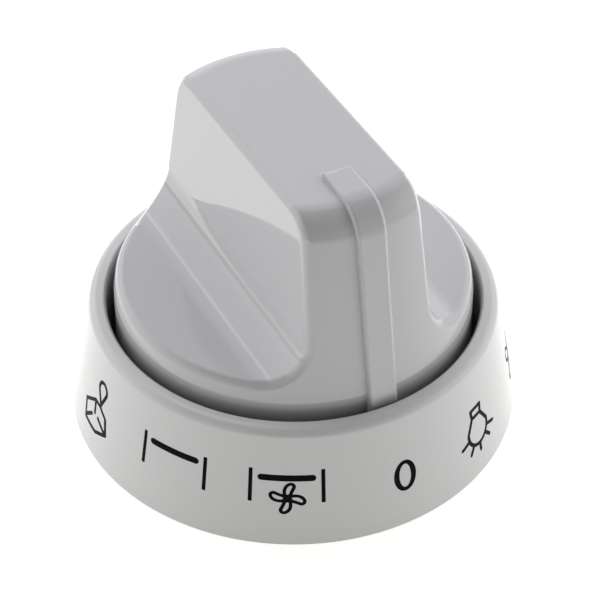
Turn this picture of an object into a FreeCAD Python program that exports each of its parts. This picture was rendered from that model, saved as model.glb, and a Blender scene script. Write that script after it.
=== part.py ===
"""Oven control knob: a winged grip with a pointer rib that turns in a conical scale ring.

Millimetres, +Z up. The origin is the centre of the ring's base, and the pointer looks along -Y.
"""
import FreeCAD, Part
import math
import os
import Sketcher

# Driving dimensions: name, value, what it measures
SIZES = (
    ("ring_radius", 30.0, "scale ring, radius of its base edge"),
    ("ring_height", 16.75, "scale ring, base to rim"),
    ("ring_draft", 10.8, "slope of the printed cone from the axis, degrees"),
    ("rim_width", 2.2, "flat of the rim before its edges are rounded"),
    ("rim_outer_break", 1.05, "bevel of the rim's outer edge"),
    ("rim_inner_break", 0.5, "bevel of the rim's edge at the gap"),
    ("ring_skin", 1.8, "thickness of the printed cone's wall at the base"),
    ("ring_inner_wall", 1.4, "thickness of the upright wall along the gap"),
    ("core_tip", 0.5, "width of the hollow between the two walls at its top"),
    ("web_height", 3.0, "underside of the ring's web above the base"),
    ("web_thickness", 2.0, "ring's web"),
    ("bearing_radius", 9.5, "hole in the web that the knob's hub turns in"),
    ("bearing_wall", 2.0, "sleeve round that hole"),
    ("bearing_height", 3.0, "sleeve above the web"),
    ("screw_spacing", 34.0, "between the two screw bosses under the ring"),
    ("screw_boss_radius", 3.2, "screw boss"),
    ("screw_boss_height", 8.0, "screw boss, base to top"),
    ("screw_pilot_radius", 1.25, "pilot hole for a self-tapping screw"),
    ("screw_pilot_depth", 7.0, "pilot hole from the base"),
    ("running_clearance", 0.06, "hub in its bearing, on the radius"),
    ("seat_gap", 0.15, "end play between knob and ring, at each seat"),
    ("ring_gap", 0.95, "visible gap between knob and ring, on the radius"),
    ("grip_height", 43.3, "top of the wing above the base"),
    ("can_draft", 10.5, "slope of the wing's ends from the axis, degrees"),
    ("can_rise", 0.7, "start of that slope above the ring's rim"),
    ("end_round", 4.0, "rounding between the wing's top and its ends"),
    ("shelf_height", 20.7, "flat floor of the scoops above the base"),
    ("wing_half_width", 7.85, "wing at its top, centre to side"),
    ("wing_draft", 3.0, "slope of the wing's sides from the axis, degrees"),
    ("scoop_round", 6.0, "hollow where the wing's side runs into the shelf"),
    ("edge_break", 1.0, "bevel of the wing's and the shelf's outer edges"),
    ("rib_width", 3.9, "pointer rib"),
    ("rib_height", 0.6, "pointer rib above the surface it follows"),
    ("rib_start", 10.8, "pointer rib's inner end from the axis"),
    ("rib_foot", 13.0, "pointer rib's lower end above the base"),
    ("rib_edge_break", 0.2, "bevel of the pointer rib's edges"),
    ("skirt_lift", 1.0, "lower edge of the knob above the ring's web"),
    ("skirt_wall", 2.0, "knob's wall below the shelves"),
    ("shell_wall", 2.2, "knob's wall above them"),
    ("hub_wall", 2.0, "knob's hub in the bearing"),
    ("hook_reach", 0.6, "hooks past the bearing's radius"),
    ("hook_end", 1.0, "lower end of the hooks above the base"),
    ("hook_slope", 1.0, "height of the hooks' lead-in"),
    ("hook_slot", 2.4, "slots that part the hooks"),
    ("hook_count", 4, "hooks round the hub"),
    ("brace_wall", 1.8, "cross braces inside the knob"),
    ("brace_root", 0.5, "braces' ends inside the walls"),
    ("brace_lift", 1.5, "braces above the ring's bearing and screw bosses"),
    ("boss_radius", 5.5, "shaft boss"),
    ("boss_end", 1.0, "mouth of the shaft boss above the base"),
    ("boss_cap", 3.0, "boss above the end of its socket"),
    ("shaft_radius", 3.03, "shaft socket, for a 6 mm shaft"),
    ("shaft_lead", 6.0, "round mouth of the socket"),
    ("shaft_depth", 20.0, "whole depth of the socket"),
    ("shaft_flat", 1.6, "flat of the socket from its axis"),
    ("shaft_ease", 0.2, "keyed part of the socket wider than its mouth, on the radius"),
    ("slit_width", 1.0, "slits that let the boss close on the shaft"),
    ("slit_height", 10.0, "slits from the boss's mouth"),
    ("clip_start", 3.0, "spring band's groove above the boss's mouth"),
    ("clip_width", 4.0, "spring band along the shaft"),
    ("clip_thickness", 0.5, "spring band's steel"),
    ("clip_seat", 0.3, "depth of the spring band's groove"),
    ("clip_play", 0.03, "spring band clear of its groove"),
    ("clip_opening", 50.0, "opening of the split band, degrees"),
)

# Worked-out sizes, as expressions on the driving ones
RIM_RADIUS = "(Sizes.ring_radius - Sizes.ring_height * tan(Sizes.ring_draft))"
BORE_RADIUS = "(%s - Sizes.rim_width)" % RIM_RADIUS
WEB_TOP = "(Sizes.web_height + Sizes.web_thickness)"
BEARING_TOP = "(%s + Sizes.bearing_height)" % WEB_TOP
BEARING_OUTER = "(Sizes.bearing_radius + Sizes.bearing_wall)"
CORE_INNER = "(%s + Sizes.ring_inner_wall)" % BORE_RADIUS
CORE_OUTER = "(Sizes.ring_radius - Sizes.ring_skin)"
CORE_TOP = "((%s - %s - Sizes.core_tip) / tan(Sizes.ring_draft))" % (CORE_OUTER, CORE_INNER)
SKIRT_RADIUS = "(%s - Sizes.ring_gap)" % BORE_RADIUS
SKIRT_END = "(%s + Sizes.skirt_lift)" % WEB_TOP
SLOPE_START = "(Sizes.ring_height + Sizes.can_rise)"
SHELF_UNDERSIDE = "(Sizes.shelf_height - Sizes.shell_wall)"
CEILING = "(Sizes.grip_height - Sizes.shell_wall)"
HUB_RADIUS = "(Sizes.bearing_radius - Sizes.running_clearance)"
HUB_INNER = "(%s - Sizes.hub_wall)" % HUB_RADIUS
COLLAR_START = "(%s + Sizes.seat_gap)" % BEARING_TOP
HOOK_TOP = "(Sizes.web_height - Sizes.seat_gap)"
HOOK_RADIUS = "(Sizes.bearing_radius + Sizes.hook_reach)"
BRACE_START = "(max(%s; Sizes.screw_boss_height) + Sizes.brace_lift)" % BEARING_TOP
KEYED_RADIUS = "(Sizes.shaft_radius + Sizes.shaft_ease)"
SOCKET_END = "(Sizes.boss_end + Sizes.shaft_depth)"
BOSS_TOP = "(%s + Sizes.boss_cap)" % SOCKET_END
CLIP_LOW = "(Sizes.boss_end + Sizes.clip_start)"
CLIP_FLOOR = "(Sizes.boss_radius - Sizes.clip_seat)"

# Lengths closer than this count as equal
TOUCH = 0.01

doc = FreeCAD.newDocument("control_knob")
sheet = doc.addObject("Spreadsheet::Sheet", "Sizes")


def can_radius(height):
    """Radius of the tapered can at a height, as an expression."""
    return "(%s - (%s - %s) * tan(Sizes.can_draft))" % (SKIRT_RADIUS, height, SLOPE_START)


def wing_side(height):
    """Distance from the wing's middle to its side at a height, as an expression."""
    return "(Sizes.wing_half_width + (Sizes.grip_height - %s) * tan(Sizes.wing_draft))" % height


def value(expression):
    """Number that an expression on the sizes comes to."""
    return float(sheet.evalExpression(expression))


def fill_sheet():
    """Write the driving dimensions into the sheet, with their names as aliases."""
    for row, (name, size, meaning) in enumerate(SIZES, start=1):
        sheet.set("A%d" % row, meaning)
        sheet.set("B%d" % row, str(size))
        sheet.setAlias("B%d" % row, name)
    doc.recompute()


def origin_feature(body, role):
    """One of a body's own origin planes or axes."""
    return next(item for item in body.Origin.OriginFeatures if item.Role == role)


def new_body(label):
    """Empty body whose label names its file."""
    body = doc.addObject("PartDesign::Body", label)
    body.Label = label
    return body


def new_sketch(body, name, role, lift=None):
    """Sketch on an origin plane of the body, raised by an expression if one is given."""
    sketch = body.newObject("Sketcher::SketchObject", name)
    sketch.AttachmentSupport = [(origin_feature(body, role), "")]
    sketch.MapMode = "FlatFace"
    if lift:
        sketch.setExpression("AttachmentOffset.Base.z", lift)
    return sketch


def pin_point(sketch, geometry, end, across, along):
    """Hold a sketch point at two expressions, measured from the sketch's origin."""
    for kind, expression in (("DistanceX", across), ("DistanceY", along)):
        index = sketch.addConstraint(
            Sketcher.Constraint(kind, -1, 1, geometry, end, value(expression)))
        sketch.setExpression("Constraints[%d]" % index, expression)


def draw_outline(sketch, corners):
    """Closed outline of straight lines through corners that are pairs of expressions."""
    points = [FreeCAD.Vector(value(x), value(y), 0) for x, y in corners]
    count = len(points)
    lines = [sketch.addGeometry(Part.LineSegment(points[i], points[(i + 1) % count]), False)
             for i in range(count)]
    for i in range(count):
        sketch.addConstraint(Sketcher.Constraint("Coincident", lines[i - 1], 2, lines[i], 1))
    for line, (x, y) in zip(lines, corners):
        pin_point(sketch, line, 1, x, y)


def draw_circle(sketch, radius, across="0", along="0"):
    """Circle with a bound radius and centre."""
    centre = FreeCAD.Vector(value(across), value(along), 0)
    circle = sketch.addGeometry(Part.Circle(centre, FreeCAD.Vector(0, 0, 1), value(radius)), False)
    pin_point(sketch, circle, 3, across, along)
    index = sketch.addConstraint(Sketcher.Constraint("Radius", circle, value(radius)))
    sketch.setExpression("Constraints[%d]" % index, radius)


def draw_arc(sketch, radius, start, end):
    """Arc round the sketch's origin, counter-clockwise between two expressions in degrees."""
    circle = Part.Circle(FreeCAD.Vector(0, 0, 0), FreeCAD.Vector(0, 0, 1), value(radius))
    span = [math.radians(value(angle)) for angle in (start, end)]
    arc = sketch.addGeometry(Part.ArcOfCircle(circle, *span), False)
    sketch.addConstraint(Sketcher.Constraint("Coincident", arc, 3, -1, 1))
    index = sketch.addConstraint(Sketcher.Constraint("Radius", arc, value(radius)))
    sketch.setExpression("Constraints[%d]" % index, radius)
    return arc


def revolve(body, kind, name, sketch):
    """Full turn of a sketch about its vertical axis."""
    feature = body.newObject("PartDesign::" + kind, name)
    feature.Profile = sketch
    feature.ReferenceAxis = (sketch, ["V_Axis"])
    doc.recompute()
    return feature


def extrude(body, kind, name, sketch, length, side="One side", reverse=False):
    """Pad or pocket of a sketch over a bound length."""
    feature = body.newObject("PartDesign::" + kind, name)
    feature.Profile = sketch
    feature.SideType = side
    feature.Reversed = reverse
    feature.setExpression("Length", length)
    doc.recompute()
    return feature


def dress_edges(body, kind, name, size, wanted):
    """Fillet or chamfer on those edges of the body's tip that a test picks."""
    tip = body.Tip
    names = ["Edge%d" % (i + 1) for i, edge in enumerate(tip.Shape.Edges) if wanted(edge)]
    feature = body.newObject("PartDesign::" + kind, name)
    feature.Base = (tip, names)
    feature.setExpression({"Fillet": "Radius", "Chamfer": "Size"}[kind], size)
    doc.recompute()


def draft_faces(body, name, angle, neutral, wanted):
    """Draft that widens those faces a test picks, away from a level face where they stay."""
    tip = body.Tip
    faces = list(enumerate(tip.Shape.Faces, start=1))
    feature = body.newObject("PartDesign::Draft", name)
    feature.Placement = tip.Placement
    feature.Base = (tip, ["Face%d" % i for i, face in faces if wanted(face)])
    feature.NeutralPlane = (tip, ["Face%d" % i for i, face in faces if neutral(face)])
    feature.Reversed = True
    feature.setExpression("Angle", angle)
    doc.recompute()


def near(left, right):
    """Two lengths that agree."""
    return abs(left - right) < TOUCH


def is_ring(edge, radius, height):
    """Edge on a level circle about the axis."""
    if not isinstance(edge.Curve, Part.Circle):
        return False
    centre = edge.Curve.Center
    return near(edge.Curve.Radius, radius) and near(centre.z, height) and near(math.hypot(centre.x, centre.y), 0)


def make_scale_ring():
    """Conical collar with a double wall, a web with the bearing sleeve, and two screw bosses."""
    body = new_body("scale_ring")
    section = new_sketch(body, "ring_section", "XZ_Plane")
    draw_outline(section, [
        ("Sizes.ring_radius", "0"),
        (RIM_RADIUS, "Sizes.ring_height"),
        (BORE_RADIUS, "Sizes.ring_height"),
        (BORE_RADIUS, WEB_TOP),
        (BEARING_OUTER, WEB_TOP),
        (BEARING_OUTER, BEARING_TOP),
        ("Sizes.bearing_radius", BEARING_TOP),
        ("Sizes.bearing_radius", "Sizes.web_height"),
        (CORE_INNER, "Sizes.web_height"),
        (CORE_INNER, CORE_TOP),
        ("%s - %s * tan(Sizes.ring_draft)" % (CORE_OUTER, CORE_TOP), CORE_TOP),
        (CORE_OUTER, "0"),
    ])
    revolve(body, "Revolution", "ring_turn", section)
    rim, bore, top = value(RIM_RADIUS), value(BORE_RADIUS), value("Sizes.ring_height")
    dress_edges(body, "Chamfer", "rim_outer", "Sizes.rim_outer_break", lambda edge: is_ring(edge, rim, top))
    dress_edges(body, "Chamfer", "rim_inner", "Sizes.rim_inner_break", lambda edge: is_ring(edge, bore, top))
    bosses = new_sketch(body, "screw_boss_plan", "XY_Plane")
    pilots = new_sketch(body, "screw_pilot_plan", "XY_Plane")
    for side in ("-", ""):
        draw_circle(bosses, "Sizes.screw_boss_radius", side + "Sizes.screw_spacing / 2")
        draw_circle(pilots, "Sizes.screw_pilot_radius", side + "Sizes.screw_spacing / 2")
    extrude(body, "Pad", "screw_bosses", bosses, "Sizes.screw_boss_height")
    extrude(body, "Pocket", "screw_pilots", pilots, "Sizes.screw_pilot_depth", reverse=True)
    return body


def add_can(body):
    """Tapered can that the whole grip is cut from, with its top edge rounded."""
    section = new_sketch(body, "can_section", "XZ_Plane")
    top_radius = can_radius("Sizes.grip_height")
    draw_outline(section, [
        ("0", SKIRT_END),
        (SKIRT_RADIUS, SKIRT_END),
        (SKIRT_RADIUS, SLOPE_START),
        (top_radius, "Sizes.grip_height"),
        ("0", "Sizes.grip_height"),
    ])
    revolve(body, "Revolution", "can_turn", section)
    radius, top = value(top_radius), value("Sizes.grip_height")
    dress_edges(body, "Fillet", "can_top", "Sizes.end_round", lambda edge: is_ring(edge, radius, top))


def cut_scoops(body):
    """Scoop from each side that leaves the wing, its hollow and the flat shelf."""
    section = new_sketch(body, "scoop_section", "XZ_Plane")
    over = "(Sizes.grip_height + Sizes.end_round)"
    for side in ("-", ""):
        draw_outline(section, [
            (side + wing_side("Sizes.shelf_height"), "Sizes.shelf_height"),
            (side + "Sizes.ring_radius", "Sizes.shelf_height"),
            (side + "Sizes.ring_radius", over),
            (side + wing_side(over), over),
        ])
    extrude(body, "Pocket", "scoops", section, "2 * Sizes.ring_radius", side="Symmetric")
    foot, shelf = value(wing_side("Sizes.shelf_height")), value("Sizes.shelf_height")

    def is_foot(edge):
        middle = edge.CenterOfMass
        straight = isinstance(edge.Curve, Part.Line)
        return straight and near(abs(middle.x), foot) and near(middle.z, shelf)

    dress_edges(body, "Fillet", "scoop_hollows", "Sizes.scoop_round", is_foot)
    top = value("Sizes.grip_height")
    side = value("Sizes.wing_half_width")

    def is_outer(edge):
        """Edge where a scoop breaks through the can's side or top."""
        middle = edge.CenterOfMass
        inside = isinstance(edge.Curve, Part.Line) and not near(middle.z, top)
        return abs(middle.x) > side - TOUCH and middle.z > shelf - TOUCH and not inside

    dress_edges(body, "Chamfer", "outer_edges", "Sizes.edge_break", is_outer)


def add_pointer(body):
    """Raised pointer rib that follows the wing's top, its rounded end and the can's side."""
    can = body.Tip.Shape
    section = new_sketch(body, "pointer_section", "YZ_Plane")
    crest = "(Sizes.grip_height + Sizes.rib_height)"
    front = "(%s + Sizes.rib_height / cos(Sizes.can_draft))" % can_radius(crest)
    bend = "(%s + Sizes.rib_height * tan(Sizes.can_draft / 2))" % SLOPE_START
    face = "(%s + Sizes.rib_height)" % SKIRT_RADIUS
    draw_outline(section, [
        ("-Sizes.rib_start", CEILING),
        ("-Sizes.rib_start", crest),
        ("-" + front, crest),
        ("-" + face, bend),
        ("-" + face, "Sizes.rib_foot"),
        ("-(%s - Sizes.skirt_wall)" % SKIRT_RADIUS, "Sizes.rib_foot"),
    ])
    extrude(body, "Pad", "pointer", section, "Sizes.rib_width", side="Symmetric")
    nose, top = value(front), value(crest)

    def is_nose(edge):
        middle = edge.CenterOfMass
        return near(middle.y, -nose) and near(middle.z, top)

    dress_edges(body, "Fillet", "pointer_nose", "Sizes.end_round + Sizes.rib_height", is_nose)
    clear = value("Sizes.rib_height") / 2

    def is_proud(edge):
        middle = edge.valueAt((edge.FirstParameter + edge.LastParameter) / 2)
        along_rib = abs(middle.x) < value("Sizes.rib_width") / 2 + TOUCH
        return along_rib and can.distToShape(Part.Vertex(middle))[0] > clear

    dress_edges(body, "Chamfer", "pointer_edges", "Sizes.rib_edge_break", is_proud)


def cut_hollow(body):
    """Hollow under the shelves, and the tapered one that runs up inside the wing."""
    section = new_sketch(body, "hollow_section", "XZ_Plane")
    inner = "(%s - Sizes.skirt_wall)" % SKIRT_RADIUS
    draw_outline(section, [
        ("0", SKIRT_END),
        (inner, SKIRT_END),
        (inner, SHELF_UNDERSIDE),
        ("0", SHELF_UNDERSIDE),
    ])
    revolve(body, "Groove", "hollow", section)
    plan = new_sketch(body, "wing_hollow_plan", "XY_Plane", lift=CEILING)
    draw_wing_plan(plan, hollow_side(CEILING), hollow_end(CEILING))
    extrude(body, "Pocket", "wing_hollow", plan, "%s - %s" % (CEILING, SHELF_UNDERSIDE))
    roof, mouth = value(CEILING), value(SHELF_UNDERSIDE)

    def is_roof(face):
        return near(face.BoundBox.ZMin, roof) and near(face.BoundBox.ZMax, roof)

    def spans_hollow(face, kind):
        upright = near(face.BoundBox.ZMin, mouth) and near(face.BoundBox.ZMax, roof)
        return upright and isinstance(face.Surface, kind)

    draft_faces(body, "hollow_sides", "Sizes.wing_draft", is_roof,
                lambda face: spans_hollow(face, Part.Plane))
    draft_faces(body, "hollow_ends", "Sizes.can_draft", is_roof,
                lambda face: spans_hollow(face, Part.Cylinder))


def draw_wing_plan(sketch, half_width, radius):
    """Plan of the wing: two straight sides and two ends on one circle about the axis."""
    turn = "acos(%s / %s)" % (half_width, radius)
    front = draw_arc(sketch, radius, "180 deg + " + turn, "360 deg - " + turn)
    back = draw_arc(sketch, radius, turn, "180 deg - " + turn)
    for first, second in ((front, back), (back, front)):
        line = sketch.addGeometry(Part.LineSegment(
            sketch.getPoint(first, 2), sketch.getPoint(second, 1)), False)
        sketch.addConstraint(Sketcher.Constraint("Coincident", first, 2, line, 1))
        sketch.addConstraint(Sketcher.Constraint("Coincident", line, 2, second, 1))
        sketch.addConstraint(Sketcher.Constraint("Vertical", line))
    for arc, sign in ((front, ""), (back, "-")):
        index = sketch.addConstraint(
            Sketcher.Constraint("DistanceX", -1, 1, arc, 2, value(sign + half_width)))
        sketch.setExpression("Constraints[%d]" % index, sign + half_width)


def hollow_side(height):
    """Distance from the wing's middle to the inside of its wall, as an expression."""
    return "(%s - Sizes.shell_wall)" % wing_side(height)


def hollow_end(height):
    """Radius of the inside of the wing's end wall, as an expression."""
    return "(%s - Sizes.shell_wall)" % can_radius(height)


def add_hub(body):
    """Hub that turns in the ring's bearing, with a seat above it and slotted hooks below."""
    section = new_sketch(body, "hub_section", "XZ_Plane")
    draw_outline(section, [
        (HUB_INNER, "Sizes.hook_end"),
        ("%s - Sizes.hook_reach" % HUB_RADIUS, "Sizes.hook_end"),
        (HOOK_RADIUS, "Sizes.hook_end + Sizes.hook_slope"),
        (HOOK_RADIUS, HOOK_TOP),
        (HUB_RADIUS, HOOK_TOP),
        (HUB_RADIUS, COLLAR_START),
        (BEARING_OUTER, COLLAR_START),
        (BEARING_OUTER, SHELF_UNDERSIDE),
        (HUB_INNER, SHELF_UNDERSIDE),
    ])
    revolve(body, "Revolution", "hub", section)
    plan = new_sketch(body, "hook_slot_plan", "XY_Plane")
    low, high = "(%s - Sizes.hook_reach)" % HUB_INNER, "(%s + Sizes.hook_reach)" % HOOK_RADIUS
    draw_outline(plan, [
        (low, "-Sizes.hook_slot / 2"),
        (high, "-Sizes.hook_slot / 2"),
        (high, "Sizes.hook_slot / 2"),
        (low, "Sizes.hook_slot / 2"),
    ])
    slot = extrude(body, "Pocket", "hook_slot", plan, BEARING_TOP, reverse=True)
    slots = body.newObject("PartDesign::PolarPattern", "hook_slots")
    slots.Originals = [slot]
    slots.Axis = (plan, ["N_Axis"])
    slots.Angle = 360
    slots.setExpression("Occurrences", "Sizes.hook_count")
    body.Tip = slots
    doc.recompute()


def add_braces(body):
    """Two upright braces that cross on the axis and tie the shaft boss to the walls."""
    skirt_inner = "(%s - Sizes.skirt_wall)" % SKIRT_RADIUS
    for name, plane, low, reach in (
            ("long_brace", "YZ_Plane", skirt_inner, hollow_end),
            ("cross_brace", "XZ_Plane", HUB_INNER, hollow_side)):
        half = [
            (low, BRACE_START),
            (low, SHELF_UNDERSIDE),
            (reach(SHELF_UNDERSIDE), SHELF_UNDERSIDE),
            (reach(CEILING), CEILING),
            (reach(CEILING), "%s + Sizes.brace_root" % CEILING),
        ]
        rooted = [("(%s + Sizes.brace_root)" % x, y) for x, y in half]
        section = new_sketch(body, name + "_section", plane)
        draw_outline(section, rooted + [("-" + x, y) for x, y in reversed(rooted)])
        extrude(body, "Pad", name, section, "Sizes.brace_wall", side="Symmetric")


def add_shaft_boss(body):
    """Boss with a socket for a D shaft: a round mouth, a flat above it, slits and a band groove."""
    plan = new_sketch(body, "boss_plan", "XY_Plane", lift="Sizes.boss_end")
    draw_circle(plan, "Sizes.boss_radius")
    extrude(body, "Pad", "boss", plan, "%s - Sizes.boss_end" % BOSS_TOP)
    mouth = new_sketch(body, "socket_mouth_plan", "XY_Plane", lift="Sizes.boss_end")
    draw_circle(mouth, "Sizes.shaft_radius")
    extrude(body, "Pocket", "socket_mouth", mouth, "Sizes.shaft_lead", reverse=True)
    keyed = new_sketch(body, "socket_plan", "XY_Plane", lift="Sizes.boss_end + Sizes.shaft_lead")
    turn = "asin(Sizes.shaft_flat / %s)" % KEYED_RADIUS
    arc = draw_arc(keyed, KEYED_RADIUS, "180 deg - " + turn, "360 deg + " + turn)
    flat = keyed.addGeometry(Part.LineSegment(keyed.getPoint(arc, 2), keyed.getPoint(arc, 1)), False)
    keyed.addConstraint(Sketcher.Constraint("Coincident", arc, 2, flat, 1))
    keyed.addConstraint(Sketcher.Constraint("Coincident", flat, 2, arc, 1))
    keyed.addConstraint(Sketcher.Constraint("Horizontal", flat))
    index = keyed.addConstraint(
        Sketcher.Constraint("DistanceY", -1, 1, flat, 1, value("Sizes.shaft_flat")))
    keyed.setExpression("Constraints[%d]" % index, "Sizes.shaft_flat")
    extrude(body, "Pocket", "socket", keyed, "Sizes.shaft_depth - Sizes.shaft_lead", reverse=True)
    clear = "((Sizes.boss_radius + %s) / 2)" % HUB_INNER
    slits = new_sketch(body, "slit_plan", "XY_Plane", lift="Sizes.boss_end")
    draw_outline(slits, [
        ("-" + clear, "-Sizes.slit_width / 2"),
        (clear, "-Sizes.slit_width / 2"),
        (clear, "Sizes.slit_width / 2"),
        ("-" + clear, "Sizes.slit_width / 2"),
    ])
    extrude(body, "Pocket", "slits", slits, "Sizes.slit_height", reverse=True)
    groove = new_sketch(body, "clip_groove_section", "XZ_Plane")
    high = "%s + Sizes.clip_width + 2 * Sizes.clip_play" % CLIP_LOW
    draw_outline(groove, [(CLIP_FLOOR, CLIP_LOW), (clear, CLIP_LOW), (clear, high), (CLIP_FLOOR, high)])
    revolve(body, "Groove", "clip_groove", groove)


def make_knob_grip():
    """Grip moulding, outside first and then what is under it."""
    body = new_body("knob_grip")
    add_can(body)
    cut_scoops(body)
    add_pointer(body)
    cut_hollow(body)
    add_hub(body)
    add_braces(body)
    add_shaft_boss(body)
    return body


def make_spring_clip():
    """Split steel band in the groove of the shaft boss, open towards the pointer."""
    body = new_body("spring_clip")
    section = new_sketch(body, "clip_section", "YZ_Plane")
    inner = "(%s + Sizes.clip_play)" % CLIP_FLOOR
    outer = "(%s + Sizes.clip_thickness)" % inner
    low = "(%s + Sizes.clip_play)" % CLIP_LOW
    high = "(%s + Sizes.clip_width)" % low
    draw_outline(section, [(inner, low), (outer, low), (outer, high), (inner, high)])
    band = revolve(body, "Revolution", "clip_band", section)
    band.Midplane = True
    band.setExpression("Angle", "360 - Sizes.clip_opening")
    doc.recompute()
    return body


def check_model(bodies):
    """Stop if a feature failed or a body isn't one valid solid."""
    failed = [item.Name for item in doc.Objects if {"Invalid", "Error"} & set(item.State)]
    if failed:
        raise RuntimeError("features failed: %s" % ", ".join(failed))
    for body in bodies:
        shape = body.Shape
        if shape.isNull() or not shape.isValid() or len(shape.Solids) != 1:
            raise RuntimeError("%s is not one valid solid" % body.Label)


def write_steps(bodies):
    """One STEP file for each body, named by its label."""
    os.makedirs("parts", exist_ok=True)
    for body in bodies:
        body.Shape.exportStep("parts/%s.step" % body.Label)
        print("%s: %.1f cubic mm" % (body.Label, body.Shape.Volume))


fill_sheet()
parts = [make_scale_ring(), make_knob_grip(), make_spring_clip()]
check_model(parts)
write_steps(parts)
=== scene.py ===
"""Looks of an oven control knob: gloss white mouldings, printed oven signs and a spring steel band.

Metres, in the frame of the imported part: +Z up, and the pointer looks along -Y at rest.
"""
import math

import bpy
import numpy as np
from mathutils import Matrix, Vector


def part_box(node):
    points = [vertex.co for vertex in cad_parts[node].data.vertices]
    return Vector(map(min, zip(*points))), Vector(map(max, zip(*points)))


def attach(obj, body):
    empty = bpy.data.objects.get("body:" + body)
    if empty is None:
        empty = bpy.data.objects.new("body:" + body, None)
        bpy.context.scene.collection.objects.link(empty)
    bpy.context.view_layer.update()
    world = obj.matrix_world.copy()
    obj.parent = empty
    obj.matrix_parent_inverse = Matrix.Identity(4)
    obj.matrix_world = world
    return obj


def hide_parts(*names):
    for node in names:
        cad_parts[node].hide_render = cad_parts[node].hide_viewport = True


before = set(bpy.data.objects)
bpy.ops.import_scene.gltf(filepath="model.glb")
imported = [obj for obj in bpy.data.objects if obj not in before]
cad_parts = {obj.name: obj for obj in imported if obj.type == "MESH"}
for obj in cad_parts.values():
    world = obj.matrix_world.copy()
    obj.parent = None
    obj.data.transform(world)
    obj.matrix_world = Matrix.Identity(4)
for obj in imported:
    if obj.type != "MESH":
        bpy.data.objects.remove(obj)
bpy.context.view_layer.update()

MM = 0.001

# Distance in metres at which two points are one, and the least length that is divided by
WELD = 1e-4 * MM
TINY = 1e-9

# Camera, measured on the photograph, in millimetres and degrees
CAMERA_PLACE = (-94.1, -180.0, 193.4)
CAMERA_AIM = (0.755, -0.395, 14.583)
CAMERA_ROLL = 0.45
CAMERA_LENS = 122.94
SENSOR_WIDTH = 36.0
CAMERA_NEAR = 10.0

# Light tent: azimuth from the camera's side, elevation, half width and soft edge in degrees, and strength
TENT_PANELS = (
    ("left_sheet", -105, 15, 35, 20, 1.4),
    ("right_sheet", 105, 15, 35, 20, 1.55),
    ("right_foot", 110, 0, 22, 15, 0.1),
    ("back_sheet", 180, 35, 40, 5, 0.85),
    ("back_left", -140, 45, 25, 15, 0.6),
    ("back_foot", 180, 5, 30, 20, 0.4),
    ("front_left", -45, 10, 25, 15, 0.6),
    ("front_right", 50, 10, 25, 15, 0.4),
)
TENT_COOL = (0.975, 0.99, 1.035)
TENT_WARM = (1.0, 0.98, 0.935)

# Floor: half width and depth in millimetres, tint and light, and where its mirrored light begins to fade
FLOOR_REACH, FLOOR_DROP = 600.0, 0.05
FLOOR_TINT = 0.5
FLOOR_LIGHT = (1.0, 0.985, 0.965)
FLOOR_GLOW, FLOOR_WHITE, FLOOR_MIRROR = 0.44, 0.4, 0.7
FLOOR_BRIGHT, FLOOR_DIM = 60.0, 250.0

# Roundings that the mouldings' narrow bevels stand for
BEVEL_WIDTH = 1.8 * MM
BEVEL_TURN = math.radians(52)
PATCH_STEPS = 3
STEADY_SPREAD = 0.03
LEVEL_RISE = 0.999
SHARP_CHANGE = 0.01

# Running gap between knob and ring, in millimetres, where painted shade and a dull mould finish begin and
# end
GAP_WIDTH = 0.95
GAP_SPREAD = 0.3
GAP_SHADE_DULL_START, GAP_SHADE_DULL_FULL, GAP_FLOOR = 18.6, 16.6, 4.0
# Painted shade: the colour in the gap is taken down to this share, standing in for the shade between knob
# and ring; the dulling raises roughness
GAP_PAINTED_SHADE, GAP_DULLING = 0.7, 0.6

# Fine painted highlight lines and one painted shade line in the left scoop: axis, place, half width, cross
# axis with its range, change of tone
PAINTED_SCOOP_LINES = (
    ("X", 12.75, 0.35, "Z", 20.75, 21.5, 0.19),
    ("Z", 24.5, 0.3, "X", 8.9, 9.8, 0.11),
    ("Z", 24.0, 0.28, "X", 8.9, 9.8, -0.12),
)

# Small forms of the grip that the photograph shows fuller than its solid, in millimetres
RIB_HALF, RIB_START = 1.95, 10.8
RIB_BEVEL, RIB_ROUND = 0.2, 0.45
FOLD_RADIUS, FOLD_HEIGHT, FOLD_RAISE = 23.65, 17.45, 0.85
FOLD_DRAFT = math.radians(10.5)
NEAR = 0.03

# Printed scale, in millimetres on the unrolled ring
PRINT_FILM = 0.02
PRINT_CELL = 0.08
PRINT_RADIUS = 28.6
PRINT_REACH = 5.5
PRINT_LOW, PRINT_HIGH = 1.5, 13.5
PRINT_LEAST = 1e-6
RING_DRAFT = math.radians(10.8)

# Finishes: tints, clouds of drift in a metre, and how many finer steps the noises have
RING_TINT = (0.83, 0.83, 0.83, 1)
GRIP_TINT = (0.70, 0.702, 0.72, 1)
INK_TINT = (0.003, 0.003, 0.0035, 1)
STEEL_TINT = (0.55, 0.55, 0.56, 1)
CLOUD_SCALE = 60.0
CLOUD_DETAIL, GRAIN_DETAIL = 3.0, 2.0


def read_node(node):
    """Points, triangles and point normals of a CAD node, whose triangles hang together face by face."""
    mesh = node.data
    points = np.empty(len(mesh.vertices) * 3)
    mesh.vertices.foreach_get("co", points)
    corners = np.empty(len(mesh.loops), dtype=np.int64)
    mesh.loops.foreach_get("vertex_index", corners)
    vectors = np.empty(len(mesh.loops) * 3)
    mesh.corner_normals.foreach_get("vector", vectors)
    points, vectors = points.reshape(-1, 3), vectors.reshape(-1, 3)
    normals = np.zeros_like(points)
    np.add.at(normals, corners, vectors)
    return points, corners.reshape(-1, 3), unit(normals)


def unit(vectors):
    """Vectors brought to length one."""
    length = np.linalg.norm(vectors, axis=-1, keepdims=True)
    return vectors / np.maximum(length, TINY)


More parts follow.
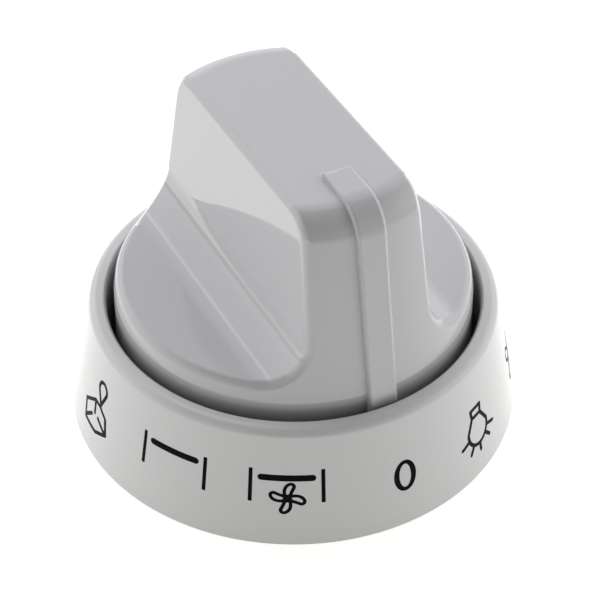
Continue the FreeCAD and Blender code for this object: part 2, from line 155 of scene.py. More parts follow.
def face_labels(count, triangles):
    """Number of the CAD face that each point belongs to."""
    labels = np.arange(count)
    while True:
        lowest = labels[triangles].min(axis=1)
        joined = labels.copy()
        for corner in range(3):
            np.minimum.at(joined, triangles[:, corner], lowest)
        joined = joined[joined]
        if np.array_equal(joined, labels):
            return np.unique(labels, return_inverse=True)[1]
        labels = joined


def face_widths(points, triangles, labels):
    """Mean width of each CAD face: its area over half of its outline."""
    corners = points[triangles]
    normal = np.cross(corners[:, 1] - corners[:, 0], corners[:, 2] - corners[:, 0])
    area = np.bincount(labels[triangles[:, 0]], np.linalg.norm(normal, axis=1) / 2)
    sides = np.concatenate([triangles[:, pair] for pair in ([0, 1], [1, 2], [2, 0])])
    edges, uses = np.unique(np.sort(sides, axis=1), axis=0, return_counts=True)
    rim = edges[uses == 1]
    length = np.linalg.norm(points[rim[:, 0]] - points[rim[:, 1]], axis=1)
    outline = np.bincount(labels[rim[:, 0]], length, minlength=len(area))
    return 2 * area / np.maximum(outline, TINY)


def steady_normals(points, normals, labels):
    """Normals without the facets' scatter, on turned faces and on faces drawn along Y."""
    radius = np.linalg.norm(points[:, :2], axis=1, keepdims=True)
    around = np.c_[-points[:, 1:2], points[:, 0:1], np.zeros_like(radius)] / np.maximum(radius, TINY)
    along = np.tile((0.0, 1.0, 0.0), (len(points), 1))
    steady = normals.copy()
    for label in range(labels.max() + 1):
        members = labels == label
        for direction in (around[members], along[members]):
            part = (steady[members] * direction).sum(axis=1, keepdims=True)
            if np.abs(part).max() < 2 * STEADY_SPREAD:
                steady[members] = unit(steady[members] - part * direction)
                break
        rise = steady[members, 2]
        if np.ptp(rise) < STEADY_SPREAD:
            level = np.median(rise)
            flat = steady[members, :2]
            lean = math.sqrt(max(0.0, 1 - level * level))
            steady[members] = np.c_[unit(flat) * lean, np.full(len(rise), level)]
    return steady


def round_bevels(normals, width, place):
    """Give each narrow face's points the normal of the widest face that they share an edge with."""
    width = np.where(normals[:, 2] > LEVEL_RISE, np.inf, width)
    order = np.argsort(place, kind="stable")
    groups = np.split(order, np.flatnonzero(np.diff(place[order])) + 1)
    rounded = normals.copy()
    for group in groups:
        for point in group[width[group] < BEVEL_WIDTH]:
            near = group[normals[group] @ normals[point] > math.cos(BEVEL_TURN)]
            rounded[point] = normals[near[np.argmax(width[near])]]
    return rounded


def round_pointer(points):
    """Widen the bevels along the pointer's two edges and its inner end."""
    x, y, z = points.T / MM
    outside = (y < NEAR - RIB_START) & (np.hypot(x, y) + z > FOLD_RADIUS + FOLD_HEIGHT - NEAR)
    edge = outside & (np.abs(np.abs(x) - RIB_HALF + RIB_BEVEL) < NEAR)
    end = outside & (np.abs(y + RIB_START + RIB_BEVEL) < NEAR) & (np.abs(x) < RIB_HALF)
    x = np.where(edge, np.sign(x) * (RIB_HALF - RIB_ROUND), x)
    y = np.where(end, -RIB_START - RIB_ROUND, y)
    return np.c_[x, y, z] * MM


def raise_fold(points):
    """Carry the skirt's straight wall a little further up, along the slope above it."""
    x, y, z = points.T / MM
    radius = np.hypot(x, y)
    fold = (np.abs(z - FOLD_HEIGHT) < 3 * NEAR) & (radius > FOLD_RADIUS - NEAR)
    slim = np.where(fold, 1 - FOLD_RAISE * math.tan(FOLD_DRAFT) / np.maximum(radius, NEAR), 1.0)
    return np.c_[x * slim, y * slim, np.where(fold, z + FOLD_RAISE, z)] * MM


def curved_copy(node, name, changes=()):
    """Closed copy of a CAD node, with each triangle swelled to a cubic patch that follows its normals."""
    points, triangles, normals = read_node(node)
    labels = face_labels(len(points), triangles)
    width = face_widths(points, triangles, labels)[labels]
    normals = steady_normals(points, normals, labels)
    cells = np.round(points / WELD).astype(np.int64)
    place = np.unique(cells, axis=0, return_inverse=True)[1].ravel()
    normals = round_bevels(normals, width, place)
    for change in changes:
        points = change(points)
    merged = np.zeros((place.max() + 1, 3))
    merged[place] = points
    ids = place[triangles]
    whole = (ids[:, 0] != ids[:, 1]) & (ids[:, 1] != ids[:, 2]) & (ids[:, 2] != ids[:, 0])
    ids = ids[whole]
    return patch_mesh(name, merged, ids, normals[triangles[whole]])


def shared_sides(ids, normals):
    """Number of each triangle side, whether it runs up in point numbers, and which numbers are sharp."""
    pairs = np.stack([ids, np.roll(ids, -1, axis=1)], axis=2)
    ends = np.stack([normals, np.roll(normals, -1, axis=1)], axis=2)
    rising = pairs[:, :, 0] < pairs[:, :, 1]
    ends = np.where(rising[:, :, None, None], ends, ends[:, :, ::-1]).reshape(-1, 2, 3)
    sides, first, number = np.unique(np.sort(pairs, axis=2).reshape(-1, 2), axis=0,
                                     return_index=True, return_inverse=True)
    number = number.ravel()
    differ = np.zeros(len(sides))
    np.maximum.at(differ, number, np.abs(ends - ends[first][number]).max(axis=(1, 2)))
    return number.reshape(-1, 3), rising, differ > SHARP_CHANGE


def patch_controls(corner, normals, straight):
    """Inner control points of cubic patches: two on each side, and one in the middle."""
    ahead, behind = np.roll(corner, -1, axis=1), np.roll(corner, 1, axis=1)
    bend_ahead = ((ahead - corner) * normals).sum(axis=2, keepdims=True) * normals
    bend_behind = ((behind - corner) * normals).sum(axis=2, keepdims=True) * normals
    leave = (2 * corner + ahead - np.where(straight, 0, bend_ahead)) / 3
    arrive = (2 * corner + behind - np.where(np.roll(straight, 1, axis=1), 0, bend_behind)) / 3
    middle = (leave.sum(axis=1) + arrive.sum(axis=1)) / 4 - corner.sum(axis=1) / 6
    return leave, arrive, middle


def patch_points(corner, controls, shares):
    """Points of all patches at one set of corner weights."""
    leave, arrive, middle = controls
    total = 6 * shares[0] * shares[1] * shares[2] * middle
    for start in range(3):
        end = (start + 1) % 3
        here, there = shares[start], shares[end]
        total = total + here ** 3 * corner[:, start]
        total = total + 3 * here ** 2 * there * leave[:, start] + 3 * here * there ** 2 * arrive[:, end]
    return total


def patch_mesh(name, points, ids, normals):
    """Mesh of cubic patches on triangles, joined along their sides, with their own normals."""
    steps = PATCH_STEPS
    side_number, rising, sharp = shared_sides(ids, normals)
    corner = points[ids]
    controls = patch_controls(corner, normals, sharp[side_number][:, :, None])
    first_inner = len(points) + len(sharp) * (steps - 1)
    inner_count = (steps - 1) * (steps - 2) // 2
    places = np.zeros((first_inner + len(ids) * inner_count, 3))
    places[:len(points)] = points
    grid = [(i, j) for i in range(steps + 1) for j in range(steps + 1 - i)]
    weights = [((steps - i - j) / steps, i / steps, j / steps) for i, j in grid]
    inner = [spot for spot, shares in enumerate(weights) if min(shares) > 0]
    indices = np.zeros((len(ids), len(grid)), dtype=np.int64)
    for spot, ((i, j), shares) in enumerate(zip(grid, weights)):
        counts = (steps - i - j, i, j)
        if max(counts) == steps:
            indices[:, spot] = ids[:, counts.index(steps)]
            continue
        if min(counts) == 0:
            side = (counts.index(0) + 1) % 3
            walked = counts[(side + 1) % 3]
            step = np.where(rising[:, side], walked, steps - walked) - 1
            indices[:, spot] = len(points) + side_number[:, side] * (steps - 1) + step
        else:
            indices[:, spot] = first_inner + np.arange(len(ids)) * inner_count + inner.index(spot)
        places[indices[:, spot]] = patch_points(corner, controls, shares)
    cells = []
    for i, j in grid:
        if i + j < steps:
            cells.append([grid.index(spot) for spot in ((i, j), (i + 1, j), (i, j + 1))])
        if i + j < steps - 1:
            cells.append([grid.index(spot) for spot in ((i + 1, j), (i + 1, j + 1), (i, j + 1))])
    faces = indices[:, np.array(cells)].reshape(-1, 3)
    spread = unit(np.einsum("wc,tcx->twx", np.array(weights), normals))
    mesh = bpy.data.meshes.new(name)
    mesh.from_pydata(places.tolist(), [], faces.tolist())
    mesh.polygons.foreach_set("use_smooth", np.ones(len(faces), dtype=bool))
    mesh.normals_split_custom_set(spread[:, np.array(cells)].reshape(-1, 3).tolist())
    mesh.update()
    return mesh


def stroke(points, width):
    """Field of a pen stroke with round ends through points, below zero inside."""
    def field(u, z):
        least = np.full(u.shape, np.inf)
        for (u0, z0), (u1, z1) in zip(points[:-1], points[1:]):
            du, dz = u1 - u0, z1 - z0
            share = np.clip(((u - u0) * du + (z - z0) * dz) / (du * du + dz * dz), 0, 1)
            least = np.minimum(least, np.hypot(u - u0 - share * du, z - z0 - share * dz))
        return least - width / 2
    return field


def upright(u0, low, high, width):
    """Field of an upright bar with square ends."""
    def field(u, z):
        return np.maximum(np.abs(u - u0) - width / 2, np.abs(z - (low + high) / 2) - (high - low) / 2)
    return field


def oval_ring(z0, half_width, half_height, side_width, end_width):
    """Field of an upright oval whose sides are bolder than its ends."""
    def field(u, z):
        outer = np.hypot(u / half_width, (z - z0) / half_height) - 1
        inner = np.hypot(u / (half_width - side_width), (z - z0) / (half_height - end_width)) - 1
        return np.maximum(outer, -inner) * half_width
    return field


def turned(points, angle, centre):
    """Points turned about the origin and moved to a centre."""
    c, s = math.cos(angle), math.sin(angle)
    return [(centre[0] + u * c - z * s, centre[1] + u * s + z * c) for u, z in points]


def arc(centre, radius, start, end, count=24):
    """Points on an arc between two angles in degrees."""
    angles = np.radians(np.linspace(start, end, count))
    return [(centre[0] + radius * math.cos(a), centre[1] + radius * math.sin(a)) for a in angles]


def smooth_loop(points, rounds=3, cut=0.25):
    """Closed loop through corner cutting, for a drawn shape without kinks."""
    loop = np.array(points, dtype=float)
    for _ in range(rounds):
        ahead = np.roll(loop, -1, axis=0)
        pair = ((1 - cut) * loop + cut * ahead, cut * loop + (1 - cut) * ahead)
        loop = np.stack(pair, axis=1).reshape(-1, 2)
    return [tuple(point) for point in np.vstack([loop, loop[:1]])]


# Signs, drawn upright in millimetres about the middle of their place on the scale
LINE_PEN = 0.52
BRACKET_REACH = 4.6
BRACKET_LOW, BRACKET_HIGH = 6.25, 11.2
BRACKET_PEN = 0.5
BAR_REACH = 3.25
BAR_PEN = 0.9
TOP_BAR, BASE_BAR = 10.15, 6.75
GRILL_BAR, FAN_BAR = 10.22, 10.0
FAN_CENTRE, FAN_SIZE = (0.1, 7.0), 0.88
LONE_FAN_CENTRE, LONE_FAN_SIZE = (0.0, 6.4), 1.5
LONE_FAN_TURN = math.radians(-20)
FAN_PEN = 0.44
FAN_HUB = 0.4
FAN_BLADE = ((-0.36, 0.3), (-0.50, 1.3), (-0.18, 2.15), (0.55, 2.55), (1.05, 2.1), (0.70, 1.4), (0.30, 0.3))
ZERO_HEIGHT = 7.33
ZERO_HALF, ZERO_PENS = (1.6, 2.3), (0.76, 0.56)
LAMP_CENTRE, LAMP_RADIUS, LAMP_ARC = (0.05, 6.75), 2.2, (172, 368)
LAMP_NECK = ((-1.05, 9.05), (0.9, 9.0))
LAMP_CAP = ((-1.2, 10.25), (1.05, 10.25))
LAMP_RAYS = ((197, 1.6), (235, 1.35), (272, 1.2), (313, 1.5), (340, 1.85))
ICE_BLOCK = ((-3.25, 6.4), (-0.4, 8.3), (1.0, 8.2), (2.6, 7.3), (3.1, 5.0), (0.5, 3.7), (-2.75, 3.75))
ICE_EDGES = (((-0.35, 8.1), (-0.2, 6.3)), ((-2.7, 4.1), (-1.0, 5.6)), ((2.8, 5.1), (0.8, 6.1)))
DROP_TIP = (1.1, 8.55)
DROP_CENTRE, DROP_RADIUS, DROP_ARC = (1.15, 11.0), 1.05, (-20, 200)


def oven_walls():
    """Two upright strokes for the oven's walls."""
    return [upright(side * BRACKET_REACH, BRACKET_LOW, BRACKET_HIGH, BRACKET_PEN) for side in (-1, 1)]


def heat_bar(height):
    """Bold level stroke for a heating element."""
    return [stroke([(-BAR_REACH, height), (BAR_REACH, height)], BAR_PEN)]


def fan(centre, size, turn=0.0):
    """Outlined fan with four blades round a small ring."""
    strokes = [stroke(arc(centre, FAN_HUB * size, 0, 360), FAN_PEN)]
    blade = smooth_loop([(u * size, z * size) for u, z in FAN_BLADE])
    for quarter in range(4):
        strokes.append(stroke(turned(blade, turn + quarter * math.pi / 2, centre), FAN_PEN))
    return strokes


def zero():
    """Off mark."""
    return [oval_ring(ZERO_HEIGHT, *ZERO_HALF, *ZERO_PENS)]


def lamp():
    """Hanging lamp with five rays."""
    left, right = LAMP_NECK
    glass = [left] + arc(LAMP_CENTRE, LAMP_RADIUS, *LAMP_ARC) + [right]
    lines = [glass, LAMP_NECK, (left, *LAMP_CAP, right)]
    for angle, reach in LAMP_RAYS:
        lines.append([arc(LAMP_CENTRE, LAMP_RADIUS + out, angle, angle, 1)[0] for out in (0, reach)])
    return [stroke(line, LINE_PEN) for line in lines]


def thaw():
    """Drop above a block of ice."""
    drop = [DROP_TIP] + arc(DROP_CENTRE, DROP_RADIUS, *DROP_ARC) + [DROP_TIP]
    block = (*ICE_BLOCK, ICE_BLOCK[0])
    return [stroke(line, LINE_PEN) for line in (block, drop, *ICE_EDGES)]


# Signs at their places on the unrolled scale, in millimetres to the right of the pointer
SCALE = (
    (0.98, zero()),
    (14.2, lamp()),
    (30.6, fan(LONE_FAN_CENTRE, LONE_FAN_SIZE, LONE_FAN_TURN)),
    (44.4, oven_walls() + heat_bar(TOP_BAR) + heat_bar(BASE_BAR)),
    (59.4, oven_walls() + heat_bar(BASE_BAR)),
    (-14.51, oven_walls() + heat_bar(FAN_BAR) + fan(FAN_CENTRE, FAN_SIZE)),
    (-29.75, oven_walls() + heat_bar(GRILL_BAR)),
    (-45.2, thaw()),
)


def print_sheet(place, fields):
    """Points and faces of one sign, cut from its fields along their zero line."""
    across = np.arange(-PRINT_REACH, PRINT_REACH, PRINT_CELL)
    u, z = np.meshgrid(across, np.arange(PRINT_LOW, PRINT_HIGH, PRINT_CELL))
    level = np.min([field(u, z) for field in fields], axis=0)
    level = np.where(np.abs(level) < PRINT_LEAST, PRINT_LEAST, level)
    points, faces, made = [], [], {}

    def corner(row, column):
        key = (row, column)
        if key not in made:
            made[key] = len(points)
            points.append((place + u[key], z[key]))
        return made[key]

    def crossing(first, second):
        key = tuple(sorted((first, second)))
        if key not in made:
            share = level[key[0]] / (level[key[0]] - level[key[1]])
            made[key] = len(points)
            points.append((place + u[key[0]] + share * (u[key[1]] - u[key[0]]),
                           z[key[0]] + share * (z[key[1]] - z[key[0]])))
        return made[key]

    lower = np.minimum(level[:-1], level[1:])
    lowest = np.minimum(lower[:, :-1], lower[:, 1:])
    for row, column in np.argwhere(lowest < 0):
        square = [(row, column), (row, column + 1), (row + 1, column + 1), (row + 1, column)]
        outline = []
        for here, there in zip(square, square[1:] + square[:1]):
            if level[here] < 0:
                outline.append(corner(*here))
            if (level[here] < 0) != (level[there] < 0):
                outline.append(crossing(here, there))
        faces.append(outline)
    return points, faces


def scale_sheet():
    """Flat mesh of all the signs: arc along X and height along Y, in metres."""
    points, faces = [], []
    for place, fields in SCALE:
        own_points, own_faces = print_sheet(place, fields)
        faces += [[index + len(points) for index in face] for face in own_faces]
        points += own_points
    mesh = bpy.data.meshes.new("scale_print")
    mesh.from_pydata([(u * MM, z * MM, 0.0) for u, z in points], [], faces)
    mesh.update()
    return mesh


def add_math(tree, operation, first, second=None):
    """Math node on sockets or numbers, and its result."""
    node = tree.nodes.new("ShaderNodeMath")
    node.operation = operation
    for socket, item in zip(node.inputs, (first, second)):
        if isinstance(item, bpy.types.NodeSocket):
            tree.links.new(item, socket)
        elif item is not None:
            socket.default_value = item
    return node.outputs[0]


def add_smooth_range(tree, value, start, end, top=1.0):
    """Number that goes smoothly from nought to a top while a socket's value goes from start to end."""
    node = tree.nodes.new("ShaderNodeMapRange")
    node.interpolation_type = "SMOOTHSTEP"
    tree.links.new(value, node.inputs["Value"])
    node.inputs["From Min"].default_value = start
    node.inputs["From Max"].default_value = end
    node.inputs["To Max"].default_value = top
    return node.outputs["Result"]


def add_scaled(tree, colour, factor):
    """Colour taken times a number."""
    node = tree.nodes.new("ShaderNodeVectorMath")
    node.operation = "SCALE"
    tree.links.new(colour, node.inputs[0])
    tree.links.new(factor, node.inputs["Scale"])
    return node.outputs[0]


def add_object_place(tree):
    """Object coordinates, split into their axes."""
    split = tree.nodes.new("ShaderNodeSeparateXYZ")
    tree.links.new(tree.nodes.new("ShaderNodeTexCoord").outputs["Object"], split.inputs[0])
    return split.outputs


def cone_wrap_tree():
    """Geometry nodes that raise a flat print to a film and wrap it round the scale ring's cone."""
    tree = bpy.data.node_groups.new("print_on_cone", "GeometryNodeTree")
    face = tree.interface
    face.new_socket("Geometry", in_out="INPUT", socket_type="NodeSocketGeometry")
    for name in ("Base Radius", "Slope", "Print Radius", "Film"):
        face.new_socket(name, in_out="INPUT", socket_type="NodeSocketFloat")
    face.new_socket("Ink", in_out="INPUT", socket_type="NodeSocketMaterial")
    face.new_socket("Geometry", in_out="OUTPUT", socket_type="NodeSocketGeometry")
    nodes, link = tree.nodes, tree.links.new
    given, result = nodes.new("NodeGroupInput"), nodes.new("NodeGroupOutput")
    lift = nodes.new("GeometryNodeExtrudeMesh")
    lift.inputs["Individual"].default_value = False
    link(given.outputs["Geometry"], lift.inputs["Mesh"])
    link(given.outputs["Film"], lift.inputs["Offset Scale"])
    back = nodes.new("GeometryNodeFlipFaces")
    link(given.outputs["Geometry"], back.inputs["Mesh"])
    both = nodes.new("GeometryNodeJoinGeometry")
    link(lift.outputs["Mesh"], both.inputs[0])
    link(back.outputs["Mesh"], both.inputs[0])
    weld = nodes.new("GeometryNodeMergeByDistance")
    weld.inputs["Distance"].default_value = WELD
    link(both.outputs[0], weld.inputs["Geometry"])
    flat = nodes.new("ShaderNodeSeparateXYZ")
    link(nodes.new("GeometryNodeInputPosition").outputs[0], flat.inputs[0])
    angle = add_math(tree, "DIVIDE", flat.outputs["X"], given.outputs["Print Radius"])
    fall = add_math(tree, "MULTIPLY", flat.outputs["Y"], given.outputs["Slope"])
    wall = add_math(tree, "SUBTRACT", given.outputs["Base Radius"], fall)
    radius = add_math(tree, "ADD", wall, flat.outputs["Z"])
    place = nodes.new("ShaderNodeCombineXYZ")
    link(add_math(tree, "MULTIPLY", radius, add_math(tree, "SINE", angle)), place.inputs["X"])
    front = add_math(tree, "MULTIPLY", radius, add_math(tree, "COSINE", angle))
    link(add_math(tree, "MULTIPLY", front, -1.0), place.inputs["Y"])
    link(flat.outputs["Y"], place.inputs["Z"])
    wrap = nodes.new("GeometryNodeSetPosition")
    link(weld.outputs["Geometry"], wrap.inputs["Geometry"])
    link(place.outputs[0], wrap.inputs["Position"])
    whole = nodes.new("GeometryNodeRealizeInstances")
    link(wrap.outputs["Geometry"], whole.inputs["Geometry"])
    paint = nodes.new("GeometryNodeSetMaterial")
    link(whole.outputs["Geometry"], paint.inputs["Geometry"])
    link(given.outputs["Ink"], paint.inputs["Material"])
    link(paint.outputs["Geometry"], result.inputs["Geometry"])
    return tree


def evaluated_mesh(source, name):
    """Plain mesh of an object with its modifiers carried out, as an object of its own."""
    graph = bpy.context.evaluated_depsgraph_get()
    mesh = bpy.data.meshes.new_from_object(source.evaluated_get(graph), depsgraph=graph)
    bpy.data.objects.remove(source)
    return new_piece(name, mesh)


def new_piece(name, mesh):
    """Object at the origin that shows a mesh."""
    mesh.name = name
    piece = bpy.data.objects.new(name, mesh)
    bpy.context.scene.collection.objects.link(piece)
    return piece


def make_scale_print(ink):
    """Ink of the scale, wrapped on the ring."""
    low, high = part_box("scale_ring")
    flat = new_piece("flat_scale", scale_sheet())
    wrap = flat.modifiers.new("wrap", "NODES")
    wrap.node_group = cone_wrap_tree()
    sizes = {
        "Base Radius": (high.x - low.x) / 2,
        "Slope": math.tan(RING_DRAFT),
        "Print Radius": PRINT_RADIUS * MM,
        "Film": PRINT_FILM * MM,
        "Ink": ink,
    }
    for item in wrap.node_group.interface.items_tree:
        if item.in_out == "INPUT" and item.name in sizes:
            wrap[item.identifier] = sizes[item.name]
    return evaluated_mesh(flat, "scale_print")


def new_shader_group(name, inputs, outputs):
    """Shader group with named sockets, with the sockets that come in and those that go out."""
    group = bpy.data.node_groups.new(name, "ShaderNodeTree")
    for way, sockets in (("INPUT", inputs), ("OUTPUT", outputs)):
        for socket, kind in sockets.items():
            group.interface.new_socket(socket, in_out=way, socket_type="NodeSocket" + kind)
    return group, group.nodes.new("NodeGroupInput").outputs, group.nodes.new("NodeGroupOutput").inputs


def finish_group():
    """Shader group for a moulded or rolled surface: drift of colour and gloss, and a fine grain."""
    group, given, result = new_shader_group(
        "surface_finish",
        {"Tint": "Color", "Drift": "Float", "Gloss": "Float", "Gloss Drift": "Float", "Grain": "Float",
         "Stretch": "Vector"},
        {"Color": "Color", "Roughness": "Float", "Height": "Float"})
    nodes, link = group.nodes, group.links.new
    stretched = nodes.new("ShaderNodeVectorMath")
    stretched.operation = "MULTIPLY"
    link(nodes.new("ShaderNodeTexCoord").outputs["Object"], stretched.inputs[0])
    link(given["Stretch"], stretched.inputs[1])
    clouds, grain = nodes.new("ShaderNodeTexNoise"), nodes.new("ShaderNodeTexNoise")
    clouds.inputs["Scale"].default_value = CLOUD_SCALE
    link(given["Grain"], grain.inputs["Scale"])
    for noise, detail in ((clouds, CLOUD_DETAIL), (grain, GRAIN_DETAIL)):
        noise.inputs["Detail"].default_value = detail
        link(stretched.outputs[0], noise.inputs["Vector"])
    drift = add_math(group, "SUBTRACT", clouds.outputs["Fac"], 0.5)
    fine = add_math(group, "SUBTRACT", grain.outputs["Fac"], 0.5)
    shade = add_math(group, "ADD", add_math(group, "MULTIPLY", drift, given["Drift"]), 1.0)
    link(add_scaled(group, given["Tint"], shade), result["Color"])
    haze = add_math(group, "MULTIPLY", add_math(group, "ADD", fine, drift), given["Gloss Drift"])
    link(add_math(group, "ADD", given["Gloss"], haze), result["Roughness"])
    link(grain.outputs["Fac"], result["Height"])
    return group


def gap_shade_and_dull_group():
    """Shader group that paints shade into the colour, darker with depth in the running gap, and dulls the
    surface there.
    """
    sockets = {"Color": "Color", "Roughness": "Float"}
    group, given, result = new_shader_group("gap_painted_shade_and_dull", sockets, sockets)
    place = add_object_place(group)
    across = add_math(group, "POWER", place["X"], 2.0)
    along = add_math(group, "POWER", place["Y"], 2.0)
    radius = add_math(group, "SQRT", add_math(group, "ADD", across, along))
    low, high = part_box("knob_grip")
    middle = (high.x - low.x) / 2 + GAP_WIDTH / 2 * MM
    aside = add_math(group, "ABSOLUTE", add_math(group, "SUBTRACT", radius, middle))
    within = add_math(group, "LESS_THAN", aside, (GAP_WIDTH / 2 + GAP_SPREAD) * MM)
    above = add_math(group, "GREATER_THAN", place["Z"], GAP_FLOOR * MM)
    depth = add_smooth_range(group, place["Z"], GAP_SHADE_DULL_START * MM, GAP_SHADE_DULL_FULL * MM)
    shade_and_dull = add_math(group, "MULTIPLY", depth, add_math(group, "MULTIPLY", within, above))
    # Painted shade: the colour is darkened with depth in the gap, where shade falls between knob and ring
    shade = add_math(group, "ADD", add_math(group, "MULTIPLY", shade_and_dull, GAP_PAINTED_SHADE - 1), 1.0)
    group.links.new(add_scaled(group, given["Color"], shade), result["Color"])
    dull = add_math(group, "MULTIPLY", shade_and_dull, GAP_DULLING)
    group.links.new(add_math(group, "MAXIMUM", given["Roughness"], dull), result["Roughness"])
    return group


def painted_scoop_lines_group():
    """Shader group that paints fine highlight lines and a shade line into the colour along the left scoop.
    """
    sockets = {"Color": "Color"}
    group, given, result = new_shader_group("painted_scoop_lines", sockets, sockets)
    place = add_object_place(group)
    reach = {"X": add_math(group, "MULTIPLY", place["X"], -1.0), "Z": place["Z"]}
    tone = 1.0
    # Painted highlight and shade: each line lightens or darkens the colour, standing in for light caught
    # along the scoop's edges
    for axis, centre, half, cross, low, high, change in PAINTED_SCOOP_LINES:
        aside = add_math(group, "ABSOLUTE", add_math(group, "SUBTRACT", reach[axis], centre * MM))
        line = add_smooth_range(group, aside, half * MM, 0.0, change)
        above = add_math(group, "GREATER_THAN", reach[cross], low * MM)
        below = add_math(group, "LESS_THAN", reach[cross], high * MM)
        drawn = add_math(group, "MULTIPLY", line, add_math(group, "MULTIPLY", above, below))
        tone = add_math(group, "ADD", drawn, tone)
    group.links.new(add_scaled(group, given["Color"], tone), result["Color"])
    return group


def lead_through(material, group):
    """Lead a material's colour, and its roughness where the group takes it, through a shader group."""
    tree = material.node_tree
    bsdf = tree.nodes["Principled BSDF"]
    step = tree.nodes.new("ShaderNodeGroup")
    step.node_tree = group
    for shown, own in (("Base Color", "Color"), ("Roughness", "Roughness")):
        if own in step.inputs:
            tree.links.new(bsdf.inputs[shown].links[0].from_socket, step.inputs[own])
            tree.links.new(step.outputs[own], bsdf.inputs[shown])


def new_finish(name, group, values, bump, shader):
    """Material of the shared surface group, with a bump's depth in millimetres and plain shader values."""
    material = bpy.data.materials.new(name)
    material.use_nodes = True
    tree = material.node_tree
    bsdf = tree.nodes["Principled BSDF"]
    finish = tree.nodes.new("ShaderNodeGroup")
    finish.node_tree = group
    for socket, number in values.items():
        finish.inputs[socket].default_value = number
    relief = tree.nodes.new("ShaderNodeBump")
    relief.inputs["Distance"].default_value = bump * MM
    tree.links.new(finish.outputs["Height"], relief.inputs["Height"])
    tree.links.new(finish.outputs["Color"], bsdf.inputs["Base Color"])
    tree.links.new(finish.outputs["Roughness"], bsdf.inputs["Roughness"])
    tree.links.new(relief.outputs["Normal"], bsdf.inputs["Normal"])
    for socket, number in shader.items():
        bsdf.inputs[socket].default_value = number
    return material


def white_plastic(name, finish, tint, steps):
    """Gloss white moulding, with its colour led through further shader groups."""
    values = {
        "Tint": tint, "Drift": 0.03, "Gloss": 0.05, "Gloss Drift": 0.03,
        "Grain": 900.0, "Stretch": (1, 1, 1),
    }
    material = new_finish(name, finish, values, bump=0.002, shader={"IOR": 1.58})
    for step in steps:
        lead_through(material, step)
    return material


def printing_ink(finish):
    """Black ink of the scale, nearly without shine."""
    values = {
        "Tint": INK_TINT, "Drift": 0.5, "Gloss": 0.35, "Gloss Drift": 0.2,
        "Grain": 3000.0, "Stretch": (1, 1, 1),
    }
    return new_finish("scale_ink", finish, values, bump=0.003, shader={"Specular IOR Level": 0.03})


def rolled_steel(finish):
    """Steel of the spring clip, with its grain along the band."""
    values = {
        "Tint": STEEL_TINT, "Drift": 0.25, "Gloss": 0.3, "Gloss Drift": 0.2,
        "Grain": 700.0, "Stretch": (1, 1, 9),
    }
    return new_finish("clip_rolled_steel", finish, values, bump=0.006, shader={"Metallic": 1.0})


def make_materials():
    """Finishes of the object, by piece."""
    finish, shade_and_dull = finish_group(), gap_shade_and_dull_group()
    return {
        # Both mouldings take the gap's painted shade; the grip also takes the painted highlight and shade
        # lines of its left scoop
        "ring": white_plastic("ring_gloss_white", finish, RING_TINT, (shade_and_dull,)),
        "grip": white_plastic("grip_gloss_white", finish, GRIP_TINT, (painted_scoop_lines_group(), shade_and_dull)),
        "ink": printing_ink(finish),
        "steel": rolled_steel(finish),
    }


def make_camera():
    """Camera at the photograph's place, turned a little about its line of sight."""
    place, aim = Vector(CAMERA_PLACE) * MM, Vector(CAMERA_AIM) * MM
    sight = (aim - place).normalized()
    right = sight.cross(Vector((0, 0, 1))).normalized()
    up = right.cross(sight)
    roll = math.radians(CAMERA_ROLL)
    across = math.cos(roll) * right + math.sin(roll) * up
    upward = math.cos(roll) * up - math.sin(roll) * right
    data = bpy.data.cameras.new("photo_camera")
    data.lens = CAMERA_LENS
    data.sensor_width = SENSOR_WIDTH
    data.clip_start = CAMERA_NEAR * MM
    camera = bpy.data.objects.new("photo_camera", data)
    camera.matrix_world = Matrix.Translation(place) @ Matrix((across, upward, -sight)).transposed().to_4x4()
    bpy.context.scene.collection.objects.link(camera)
    bpy.context.scene.camera = camera


def tent_direction(azimuth, elevation):
    """Unit vector towards a place in the tent, whose azimuth counts to the right from the camera."""
    front = math.atan2(CAMERA_PLACE[0], -CAMERA_PLACE[1])
    turn, rise = front + math.radians(azimuth), math.radians(elevation)
    return (math.cos(rise) * math.sin(turn), -math.cos(rise) * math.cos(turn), math.sin(rise))


def turn_from(tree, way, direction):
    """Angle between a socket's direction and a fixed one."""
    facing = tree.nodes.new("ShaderNodeVectorMath")
    facing.operation = "DOT_PRODUCT"
    tree.links.new(way, facing.inputs[0])
    facing.inputs[1].default_value = direction
    return add_math(tree, "ARCCOSINE", facing.outputs["Value"])


def make_light_tent():
    """World with lit sheets round the object, which shows as white to the camera."""
    world = bpy.data.worlds.new("light_tent")
    bpy.context.scene.world = world
    world.use_nodes = True
    tree = world.node_tree
    background = tree.nodes["Background"]
    way = tree.nodes.new("ShaderNodeTexCoord").outputs["Generated"]
    total = 0.0
    for name, azimuth, elevation, half, edge, strength in TENT_PANELS:
        turn = turn_from(tree, way, tent_direction(azimuth, elevation))
        panel = add_smooth_range(tree, turn, math.radians(half + edge), math.radians(half - edge), strength)
        panel.node.label = name
        total = add_math(tree, "ADD", panel, total)
    behind = add_math(tree, "DIVIDE", turn_from(tree, way, tent_direction(0, 0)), math.pi)
    tone = tree.nodes.new("ShaderNodeMix")
    tone.data_type = "RGBA"
    tree.links.new(behind, tone.inputs["Factor"])
    tone.inputs["A"].default_value = (*TENT_WARM, 1)
    tone.inputs["B"].default_value = (*TENT_COOL, 1)
    tree.links.new(tone.outputs["Result"], background.inputs["Color"])
    shown = tree.nodes.new("ShaderNodeMix")
    tree.links.new(tree.nodes.new("ShaderNodeLightPath").outputs["Is Camera Ray"], shown.inputs["Factor"])
    tree.links.new(total, shown.inputs["A"])
    shown.inputs["B"].default_value = 1.0
    tree.links.new(shown.outputs["Result"], background.inputs["Strength"])


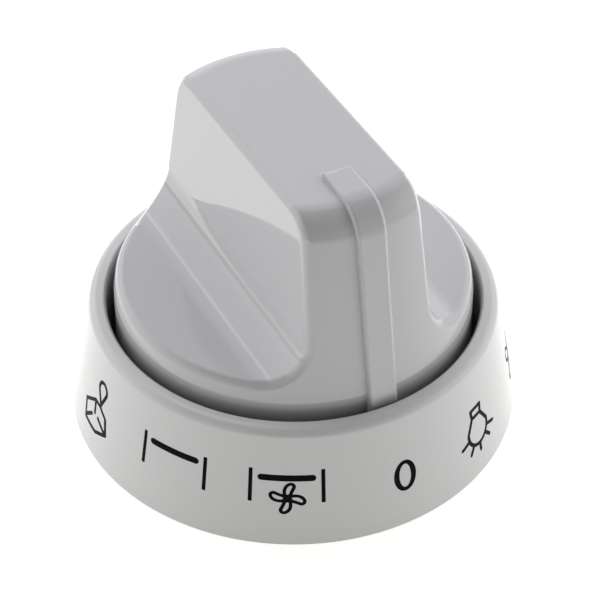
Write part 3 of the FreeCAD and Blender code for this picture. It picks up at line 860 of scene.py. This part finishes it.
def floor_material():
    """Pale matt floor with a glow, white to the camera and fading with distance in the object's gloss."""
    material = bpy.data.materials.new("pale_floor")
    material.use_nodes = True
    tree = material.node_tree
    tree.nodes.remove(tree.nodes["Principled BSDF"])
    matt = tree.nodes.new("ShaderNodeBsdfDiffuse")
    matt.inputs["Color"].default_value = (FLOOR_TINT, FLOOR_TINT, FLOOR_TINT, 1)
    away = tree.nodes.new("ShaderNodeVectorMath")
    away.operation = "LENGTH"
    tree.links.new(tree.nodes.new("ShaderNodeTexCoord").outputs["Object"], away.inputs[0])
    fade = add_smooth_range(tree, away.outputs["Value"], FLOOR_DIM * MM, FLOOR_BRIGHT * MM, FLOOR_MIRROR)
    path = tree.nodes.new("ShaderNodeLightPath").outputs
    mirrored = add_math(tree, "MULTIPLY", path["Is Glossy Ray"], fade)
    seen = add_math(tree, "MULTIPLY", path["Is Camera Ray"], FLOOR_WHITE)
    shown = add_math(tree, "ADD", seen, mirrored)
    lift = tree.nodes.new("ShaderNodeEmission")
    lift.inputs["Color"].default_value = (*FLOOR_LIGHT, 1)
    tree.links.new(add_math(tree, "ADD", shown, FLOOR_GLOW), lift.inputs["Strength"])
    both = tree.nodes.new("ShaderNodeAddShader")
    for shader, socket in zip((matt, lift), both.inputs):
        tree.links.new(shader.outputs[0], socket)
    tree.links.new(both.outputs[0], tree.nodes["Material Output"].inputs["Surface"])
    return material


def make_floor():
    """Floor below the object, which keeps its shadow."""
    half, drop = FLOOR_REACH * MM, FLOOR_DROP * MM
    corners = [(x * half, y * half, -drop) for x, y in ((-1, -1), (1, -1), (1, 1), (-1, 1))]
    mesh = bpy.data.meshes.new("floor")
    mesh.from_pydata(corners, [], [(0, 1, 2, 3)])
    mesh.materials.append(floor_material())
    new_piece("floor", mesh)


def dress_object():
    """Finished pieces on their bodies."""
    materials = make_materials()
    for node, name, body, slot, finish, changes in (
            ("scale_ring", "ring_moulding", "ring", "ring_plastic", "ring", ()),
            ("knob_grip", "grip_moulding", "knob", "grip_plastic", "grip", (round_pointer, raise_fold))):
        piece = new_piece(name, curved_copy(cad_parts[node], name, changes))
        piece.data.materials.append(materials[finish])
        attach(piece, body)
        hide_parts(node)
    ink = make_scale_print(materials["ink"])
    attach(ink, "ring")
    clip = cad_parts["spring_clip"]
    clip.data.materials.clear()
    clip.data.materials.append(materials["steel"])


bpy.context.scene.view_settings.view_transform = "Standard"
make_camera()
make_light_tent()
make_floor()
dress_object()
